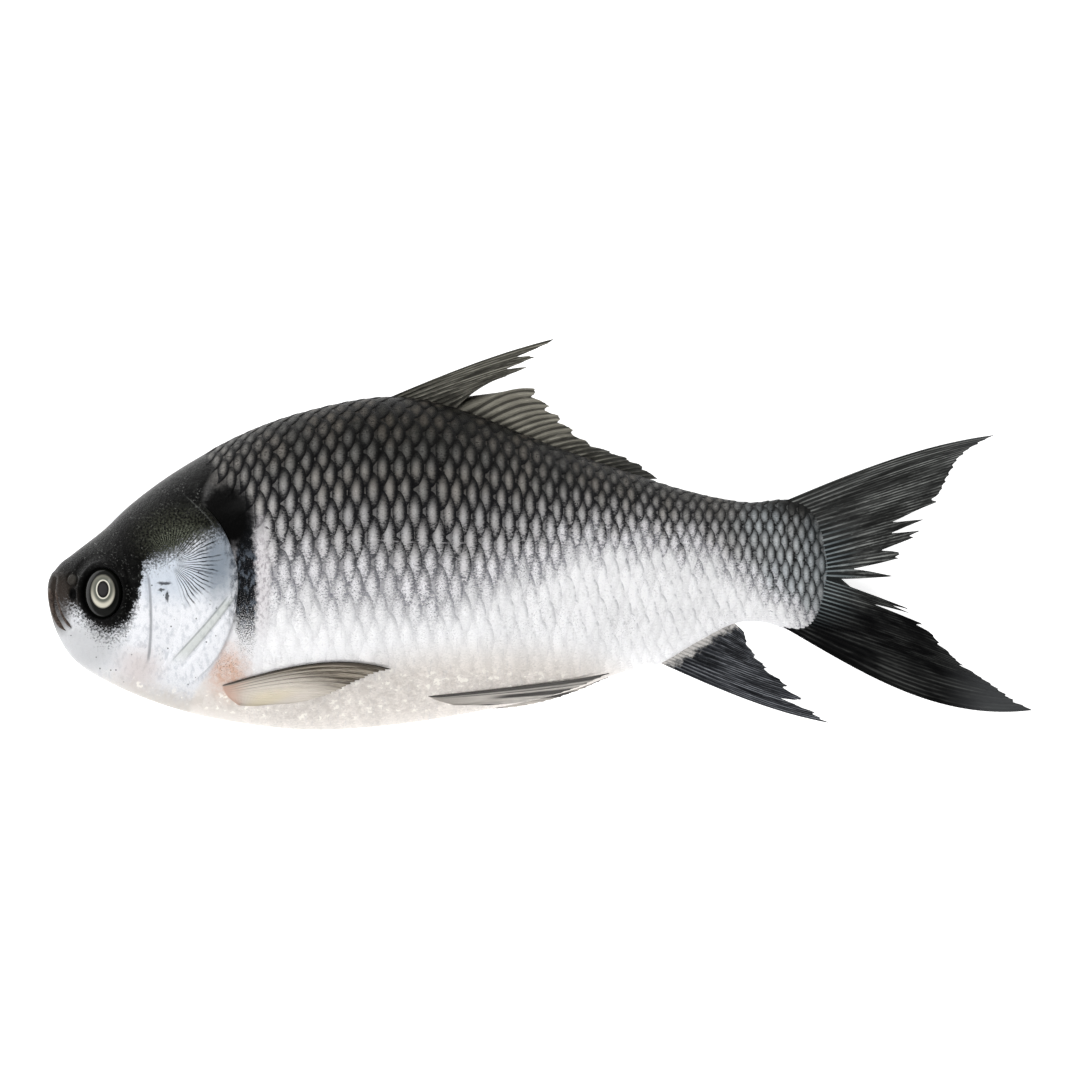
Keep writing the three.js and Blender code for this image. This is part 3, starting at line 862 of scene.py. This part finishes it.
def gill_cover(side):
    u = np.linspace(0, 1, 90)[:, None]
    v = np.linspace(0, 1, 130)[None, :]
    front, rear = GILL_FRONT(v), GILL_REAR(v)
    x = front[..., 0] + (rear - front)[..., 0] * u
    y = front[..., 1] + (rear - front)[..., 1] * u
    lift = 1.7 * smooth(u, 0, 1.1) + 0.2 - 0.8 * smooth(u, 0.1, 0) - 0.6 * smooth(u, 0.97, 1)
    for groove in (BLADE_TOP, BLADE_LOW):
        near = distance_to(groove, x, y)
        lift = lift - 0.4 * hump(near, 0.8) + 0.2 * hump(near - 2, 1.2)
    shown = smooth(v, 0, 0.12) * smooth(v, 1, 0.9)
    lift = lift * shown - 1.4 * (1 - shown)
    low = -2.6 + 3.0 * smooth(u, 0.8, 1) * shown
    angle = side * angle_at(x, y)
    over, under = skin(x, angle, lift), skin(x, angle, low)
    return plate(f"gill_cover_{SIDES[side]}", over, under, GILLS)


def gill_material():
    paint = Paint("gill_cover")
    x, y = paint.place()
    head_colour(paint, x, y)
    bump = paint.noise((x, y), 0.6, 6, 0.65)
    return paint.finish(0.28, bump, 0.5, **WET)


GILLS = gill_material()
for side in SIDES:
    gill_cover(side)
print("gill covers: made")

# %% [markdown]
# ## Lips
# The mouth slants steeply up. A thick lower lip runs over the snout from cheek to cheek, in front of a
# thinner upper fold that ends in the corner of the mouth.


# %% Lips
def tube(name, middle, radius, material, sides=16):
    ahead = unit(np.gradient(middle, axis=0))
    side = unit(np.cross(ahead, (0.0, 0.0, 1.0)))
    up = np.cross(side, ahead)
    turn = np.linspace(0, 2 * math.pi, sides, endpoint=False)[None, :, None]
    ring = np.cos(turn) * side[:, None] + np.sin(turn) * up[:, None]
    return closed(name, middle[:, None] + ring * radius[:, None, None], material)


def lip(name, route, thick, material):
    t = np.linspace(-1, 1, 81)
    x, y = route(np.abs(t)).T
    width = half_width(x) * np.sin(angle_at(x, y))
    z = np.sign(t) * width * smooth(np.abs(t), 0, 0.22)
    middle = laid(np.stack([x, y, z], axis=-1))
    radius = thick * (1 - 0.75 * smooth(np.abs(t), 0.7, 1.0))
    return tube(name, middle, radius, material)


def lip_material():
    paint = Paint("lip")
    x, y = paint.place()
    grain = paint.noise((x, y), 0.7, 5, 0.7)
    paint.colour = paint.mix(grain.step(0.35, 0.65), rgb(40, 35, 32), rgb(88, 77, 71))
    return paint.finish(0.3, grain, 0.3, **WET)


LIP = lip_material()
lip("lip_lower", line([(2, -25), (1.9, -32), (3.8, -40.5), (6.8, -46), (10.5, -49.5)]), 1.7, LIP)
lip("lip_upper", line([(4.6, -24), (5.2, -32), (7.6, -40), (10.4, -45), (12.4, -47.4)]), 0.9, LIP)
print("lips: made")

# %% [markdown]
# ## Eyes
# The eyeball is a flat oval ball. Its rings are ovals in the same side view as the rest of the fish: a
# black pupil with a pale rim and a painted grey reflection in its middle, a grey and then a cream iris,
# and a dark wet border.


# %% Eyes
PUPIL = (29, -28)


def eye_material():
    paint = Paint("eye")
    x, y = paint.place()
    grain = paint.noise((x, y), 0.9, 4, 0.6)
    paint.colour = paint.mix(grain, rgb(4, 5, 4), rgb(16, 17, 14))
    iris = paint.mix(y.step(-36, -25), rgb(198, 194, 179), rgb(112, 111, 101))
    rings = [
        ((28.9, -29), (6.1, 8.3), 0.07, iris),
        ((29, -28.3), (4.9, 6.5), 0.14, rgb(92, 94, 86)),
        (PUPIL, (3.6, 4.9), 0.05, rgb(212, 209, 196)),
        (PUPIL, (3, 4.3), 0.05, rgb(8, 8, 9)),
        # painted reflection: a grey spot in the middle of the black pupil
        (PUPIL, (2.3, 3.3), 0.3, rgb(48, 46, 47)),
    ]
    for centre, radii, soft, tone in rings:
        paint.coat(paint.spot((x, y), centre, radii, soft), tone)
    return paint.finish(0.12, grain, 0.05, Coat_Weight=0.1, Coat_Roughness=0.05, Specular_IOR_Level=0.2)


def eye(side):
    polar = np.linspace(0.001, math.pi - 0.001, 40)[:, None]
    turn = np.linspace(0, 2 * math.pi, 64, endpoint=False)[None, :]
    x0, y0 = EYE
    centre = flank_point(x0, y0, 1)
    out = unit(np.cross(flank_point(x0 + 1, y0, 1) - centre, flank_point(x0, y0 + 1, 1) - centre))
    along = unit(np.cross((0.0, 1.0, 0.0), out))
    up = np.cross(out, along)
    ball = [
        EYE_RADII[0] * np.sin(polar) * np.cos(turn),
        EYE_RADII[1] * np.sin(polar) * np.sin(turn),
        EYE_RADII[2] * np.cos(polar) + 0 * turn,
    ]
    points = sum(part[..., None] * axis for part, axis in zip(ball, (along, up, out)))
    points = points + centre - EYE_DEPTH * out
    if side < 0:
        points[..., 2] = 2 * mid_height(points[..., 0]) - points[..., 2]
    name = f"eye_{SIDES[side]}"
    return closed(name + "_ball", points, EYES, node=name, slot="eye")


EYES = eye_material()
for side in SIDES:
    eye(side)
print("eyes: made")

# %% [markdown]
# ## Fins
# A fin is a fan of rays with skin between them. Its root and its rim are lines, and each ray runs from
# one to the other with a slight bow. Between two rays the skin reaches less far, which gives the torn
# edge, and its surface rises at every ray and again at the ray's branches.


# %% Fin maker
def in_two(split, first, second):
    def both(t):
        before = np.clip(t / split, 0, 1)
        after = np.clip((t - split) / (1 - split), 0, 1)
        return np.where((t < split)[..., None], first(before), second(after))

    return both


def fin(
    name, rays, root, tip, bow, tears, halves, lie, material, per_ray=10, steps=46, fray=0.02, swell=0.0
):
    """Tears are (place along the rim, depth, half width), each a share of 1."""
    f = np.linspace(0, rays - 1, (rays - 1) * per_ray + 1)
    t = f / (rays - 1)
    between = 1 - np.abs(2 * (f - np.floor(f)) - 1)
    ragged = np.interp(f, np.arange(rays), rng.uniform(0, 1, rays))
    inner = smooth(t, 0, 0.04) * smooth(t, 1, 0.96)
    reach = 1 - fray * inner * (between + ragged + rng.uniform(0, 0.5, len(f)) * (between > 0.3))
    for where, depth, half in tears:
        reach = reach - depth * np.clip(1 - np.abs(t - where) / half, 0, 1) ** 0.8
    s = np.linspace(0, 1, steps + 1)[None, :] * reach[:, None]
    start, end = root(t)[:, None], tip(t)[:, None]
    along = end - start
    across = np.stack([-along[..., 1], along[..., 0]], axis=-1)
    sideways = bow(t)[:, None] * s * (1 - s) * (2.4 + 3.2 * s)
    place = start + along * s[..., None] + across * sideways[..., None]
    ridge = np.cos(math.pi * f)[:, None] ** 2
    branch = np.cos(2 * math.pi * f)[:, None] ** 2
    branched = smooth(s, 0.3, 0.6)
    height = (1 - branched) * ridge**2 + branched * np.maximum(ridge**3, 0.7 * branch**2)
    (ray_root, ray_tip), (web_root, web_tip) = halves
    ray_half = ray_root + (ray_tip - ray_root) * s
    web_half = web_root + (web_tip - web_root) * s
    half = web_half + (ray_half - web_half) * height + swell * smooth(s, 0.36, 0)
    uv = np.stack([f[:, None] + 0 * s, s], axis=-1)
    return plate(name, lie(place, s, half), lie(place, s, -half), material, uv=uv)


def upright(droop, ripple=0.5):
    def lie(place, s, half):
        wave = ripple * np.sin(place[..., 0] * 0.23 + place[..., 1] * 0.31) * s
        z = half - droop * s * s + wave
        return laid(np.concatenate([place, z[..., None]], axis=-1), clear=0.0)

    return lie


def along_flank(side, drop=0.0, lift=1.2, depth=6.0):
    def lie(place, s, half):
        x, y = place[..., 0], place[..., 1]
        held = np.maximum(y, belly_line(x) + depth)
        points = flank_point(x, held, side, half + 0.5 + lift * s - 2.4 * smooth(s, 0.16, 0))
        points[..., 1] += y - held - drop * s
        points[..., 2] = np.maximum(points[..., 2], 0.05)
        return points

    return lie


# %% Fin material
def waves(paint, ray, each=1):
    """1 on a ray and -1 half way to the next one, so many times from ray to ray."""
    return paint.math("COSINE", ray * (2 * math.pi * each))


def fin_material(name, dark, light, web, body_tint=None, tint_reach=0.3, worn=1.0):
    """Rays of the colour light in a skin of the colour web, both darkened by streaks of the colour dark."""
    paint = Paint(name)
    x, y = paint.place()
    ray, out = paint.own()
    turn, fork = waves(paint, ray), waves(paint, ray, 2)
    bright = turn.step(0, 0.9) * (1 - out.step(0.3, 0.6))
    bright = bright + fork.step(0, 0.9) * out.step(0.3, 0.6)
    streak = paint.noise((ray * 0.9, out * 2.5), 1, 5, 0.75)
    fine = paint.noise((ray * 4, out * 9, 4), 1, 4, 0.7)
    bright = bright * paint.noise((ray * 0.7, out * 1.5, 8), 1, 4, 0.6).step(0.36, 0.6)
    paint.colour = paint.mix(bright, web, light)
    paint.coat(streak.step(0.42, 0.6) * worn, dark)
    paint.coat(fine.step(0.58, 0.75) * 0.6, light)
    if body_tint:
        paint.coat(out.step(tint_reach, 0) * 0.8, body_tint)
    joints = paint.math("SINE", out * 190) * 0.12
    bump = turn * 0.5 + fine * 0.6 + joints
    return paint, bump, (x, y, ray, out)


def tail_material():
    dark, light, web = rgb(26, 27, 26), rgb(142, 144, 141), rgb(56, 57, 56)
    paint, bump, (x, y, ray, out) = fin_material("tail_fin", dark, light, web, worn=0.8)
    cloud = paint.noise((ray * 0.35, out * 3, 7), 1, 4, 0.6)
    paint.coat(cloud.step(0.46, 0.62) * 0.6, 18, 18, 18)
    paint.coat(y.step(-22, -44) * (cloud.step(0.4, 0.6) * 0.16 + 0.78), 2, 2, 3)
    paint.coat(x.step(452, 486) * 0.35, 104, 106, 108)
    base = x.step(416, 393) * abs(y + 20).step(30, 8)
    rays = waves(paint, ray).step(0, 0.9)
    paint.coat(base * (1 - rays) * 0.5, 22, 28, 30)
    paint.coat(base * rays * 0.7, 138, 150, 154)
    return paint.finish(0.36, bump, 0.3, **WET)


def back_material():
    dark, light, web = rgb(44, 43, 39), rgb(150, 148, 137), rgb(80, 79, 72)
    paint, bump, (x, _y, ray, out) = fin_material("back_fin", dark, light, web, rgb(26, 25, 23), 0.2, 0.9)
    thin = ray.step(7, 10) * ray.step(22, 15) * out.step(0.1, 0.4)
    paint.coat(thin * 0.45, 170, 166, 152)
    worn = paint.noise((ray * 1.3, out * 2, 6), 1, 4, 0.7)
    seam = (waves(paint, ray) + (worn - 0.5) * 3).step(0.1, -0.8) * ray.step(6, 9)
    paint.coat(seam * 0.8, 36, 35, 32)
    paint.coat(x.step(268, 300) * 0.6, 38, 38, 36)
    return paint.finish(0.38, bump, 0.3, **WET)


def anal_material():
    dark, light, web = rgb(8, 9, 11), rgb(146, 149, 155), rgb(46, 48, 52)
    paint, bump, (x, y, _ray, _out) = fin_material("anal_fin", dark, light, web, worn=0.8)
    rough = (paint.noise((x, y), 0.35, 5, 0.7) - 0.5) * 16
    hem = paint.curve(x, [(303, -71.5), (316, -67), (330, -59.2), (345, -49), (354, -45.2)])
    paint.coat((y - hem + rough).step(-2.5, 2.5), 206, 203, 199)
    return paint.finish(0.36, bump, 0.3, **WET)


def breast_material():
    dark, light, web = rgb(74, 68, 60), rgb(186, 178, 164), rgb(150, 141, 128)
    tint = rgb(212, 182, 168), 0.35
    paint, bump, (_x, _y, ray, out) = fin_material("pectoral_fin", dark, light, web, *tint)
    low = (ray + (1 - out) * 14 + paint.noise((ray * 0.6, out * 3), 1) * 4).step(9, 19)
    paint.coat(low, 218, 210, 200)
    yellow = abs(out - 0.5).step(0.3, 0.05) * ray.step(8, 14)
    paint.coat(yellow * 0.5, 222, 210, 176)
    strong = waves(paint, ray, 0.5).step(0.55, 0.95) * ray.step(12, 5)
    paint.coat(strong * 0.6, 62, 56, 48)
    paint.coat(ray.step(1.6, 0.6) * 0.8, 34, 30, 27)
    root = (out + paint.noise((ray, out * 20), 0.4) * 0.1).step(0.34, 0.12) * ray.step(0.8, 2.4)
    paint.coat(root * 0.95, 216, 184, 168)
    return paint.finish(0.36, bump, 0.2, **WET)


def belly_material():
    dark, light, web = rgb(178, 174, 169), rgb(228, 223, 216), rgb(216, 211, 205)
    tint = rgb(216, 206, 196), 0.2
    paint, bump, (_x, _y, ray, out) = fin_material("pelvic_fin", dark, light, web, *tint)
    paint.coat(out.step(1, 0.5) * 0.6, 206, 200, 193)
    edge = ray.step(2.1, 1.2) * out.step(0.02, 0.1)
    edge = edge + abs(ray - 2.6).step(0.8, 0.2) * out.step(0.1, 0.3) * 0.7
    edge = edge + abs(ray - 5.2).step(1.8, 0.7) * out.step(0.4, 0.6)
    edge = edge + ray.step(11.5, 13) * out.step(0.6, 0.8)
    paint.coat(edge * 0.85, 30, 31, 33)
    return paint.finish(0.36, bump, 0.2, **WET)


# %% The seven fins
MIDDLE = ((1.2, 0.45), (0.9, 0.28))
PAIRED = ((0.6, 0.3), (0.4, 0.16))


def tail_fin():
    root = line([(362, 11.5), (384, 5), (392, -12), (392, -26), (387, -40), (374, -47.5)])
    upper = line([(482, 50.6), (466, 40.5), (457, 26), (451, 12), (442, -4), (428, -26)])
    lower = line([(436, -36), (447, -47.5), (464, -65), (483, -78), (501.5, -90)])
    bow = through([(0, 0.034), (0.15, 0), (0.85, 0), (1, -0.085)])
    tears = [
        (0.27, 0.05, 0.015), (0.322, 0.34, 0.03), (0.372, 0.32, 0.022), (0.405, 0.1, 0.012),
        (0.438, 0.34, 0.024), (0.468, 0.14, 0.012), (0.496, 0.6, 0.022), (0.54, 0.68, 0.02),
        (0.582, 0.2, 0.014), (0.618, 0.42, 0.022), (0.66, 0.1, 0.012), (0.72, 0.03, 0.01),
        (0.8, 0.04, 0.01),
    ]
    rim, material = in_two(0.54, upper, lower), tail_material()
    return fin("tail_fin", 39, root, rim, bow, tears, MIDDLE, upright(0), material, 10, 60, 0.012, 1.3)


def back_fin():
    split = 5 / 17
    front_x, gap_x, rear_x = 155, 206, 294

    def root(t):
        ahead = front_x + (gap_x - front_x) * t / split
        behind = gap_x + (rear_x - gap_x) * (t - split) / (1 - split)
        x = np.where(t < split, ahead, behind)
        return np.stack([x, back_line(x) - 6], axis=-1)

    front = line([(257, 99.3), (252, 93), (247.5, 87.5), (243, 83.5), (229, 79), (211, 69.8)])
    rear = line([(247.5, 74.2), (256, 64), (264, 56), (275, 46.5), (290, 40.6), (302, 35), (310, 28)])
    bow = [(0, 0.02), (0.25, 0.015), (0.29, 0.02), (0.298, 0.1), (0.42, 0.07), (0.6, 0.06), (1, 0.03)]
    tears = [(0.05, 0.12, 0.03), (0.115, 0.16, 0.03), (0.18, 0.14, 0.03), (0.24, 0.06, 0.015)]
    tears += [(t, 0.1, 0.03) for t in (0.35, 0.43, 0.52, 0.6, 0.68, 0.76, 0.84, 0.92)]
    rim = in_two(split, front, rear)
    return fin("back_fin", 31, root, rim, through(bow), tears, MIDDLE, upright(6), back_material())


def anal_fin():
    root = line([(303, -62), (316, -57), (330, -49), (345, -42)])
    tip = line([(397.5, -96.4), (389, -89), (381, -81), (369, -71), (362, -64), (356.5, -57), (354, -50)])
    bow = through([(0, -0.03), (1, 0.02)])
    tears = [(0.19, 0.16, 0.06), (0.34, 0.07, 0.04), (0.5, 0.08, 0.05), (0.66, 0.08, 0.04)]
    tears += [(0.83, 0.07, 0.04)]
    return fin("anal_fin", 19, root, tip, bow, tears, MIDDLE, upright(5), anal_material(), per_ray=12)


def breast_fin(side, material):
    root = line([(81.5, -78.8), (86, -82), (95, -86)])
    tip = line([(174.5, -67.6), (163, -71.5), (153, -76), (141, -81), (128, -84.2), (114, -85)])
    name = f"pectoral_fin_{SIDES[side]}"
    bow = through([(0, 0.073), (0.5, 0.03), (1, -0.03)])
    return fin(name, 23, root, tip, bow, [], PAIRED, along_flank(side), material, 8, fray=0.014)


def belly_fin(side, drop, material):
    root = line([(184.5, -83), (192, -84.4), (203, -86)])
    tip = line([(284.5, -69.6), (271, -75.5), (256, -80.5), (240, -84), (224, -85.4)])
    name = f"pelvic_fin_{SIDES[side]}"
    bow = through([(0, -0.012), (1, 0)])
    return fin(name, 15, root, tip, bow, [], PAIRED, along_flank(side, drop), material, 8, fray=0.01)


tail_fin()
back_fin()
anal_fin()
breast, belly = breast_material(), belly_material()
for side, drop in ((1, 0.0), (-1, 2.4)):
    breast_fin(side, breast)
    belly_fin(side, drop, belly)
print("fins: made")

# %% [markdown]
# ## Table, light and camera
# The table is plain and nearly white. A bright surround fills the shadows, as a light tent does. Three
# broad lamps give the fish its roundness and stay out of its reflections, and one small lamp over the
# head gives the wet skin its sheen. The camera looks straight down from far away, so the fish is seen in
# its side view.


# %% Table, light and camera
def table_top():
    size = 3.0
    mesh = bpy.data.meshes.new("table")
    corners = [(-size, -size, 0), (size, -size, 0), (size, size, 0), (-size, size, 0)]
    mesh.from_pydata(corners, [], [(0, 1, 2, 3)])
    paint = Paint("table")
    paint.colour = (0.86, 0.86, 0.86, 1)
    paint.finish(0.6, Emission_Color=(1, 1, 1, 1), Emission_Strength=0.8)
    mesh.materials.append(paint.material)
    made = bpy.data.objects.new("table", mesh)
    made.location.z = -0.2 * MM
    bpy.context.scene.collection.objects.link(made)


def lamp(name, place, size, watts, mirrored=False):
    light = bpy.data.lights.new(name, "AREA")
    light.size, light.energy = size, watts
    made = bpy.data.objects.new(name, light)
    made.visible_glossy = mirrored
    made.location = place
    made.rotation_euler = (-Vector(place)).to_track_quat("-Z", "Y").to_euler()
    bpy.context.scene.collection.objects.link(made)


def surround(overhead, around):
    """A bright tent with a dark opening overhead, where the camera looks in: black skin stays black."""
    world = bpy.data.worlds.new("surround")
    nodes = Nodes(world)
    _x, _y, up = nodes.split(nodes.node("TexCoord"))
    level = up.step(0.9, 0.6) * (around - overhead) + overhead
    background = nodes.tree.nodes["Background"]
    nodes.feed(background.inputs["Color"], (1, 1, 1, 1))
    nodes.feed(background.inputs["Strength"], level)
    bpy.context.scene.world = world


def camera():
    distance, width, level = 6.0, 0.5485, 0.036
    lens = bpy.data.cameras.new("camera")
    lens.lens = lens.sensor_width * distance / width
    made = bpy.data.objects.new("camera", lens)
    made.location = (0, -0.003, level + distance)
    bpy.context.scene.collection.objects.link(made)
    bpy.context.scene.camera = made


table_top()
lamp("key", (-0.9, 1.2, 1.0), 0.8, 19)
lamp("fill", (0.8, -1.1, 1.2), 1.0, 16)
lamp("front", (-1.4, -0.5, 1.0), 0.8, 9)
lamp("glint", (-0.5, 0.7, 1.2), 0.25, 1.2, mirrored=True)
surround(0.12, 0.5)
bpy.context.scene.view_settings.view_transform = "Standard"
camera()
print("table, light and camera: made")
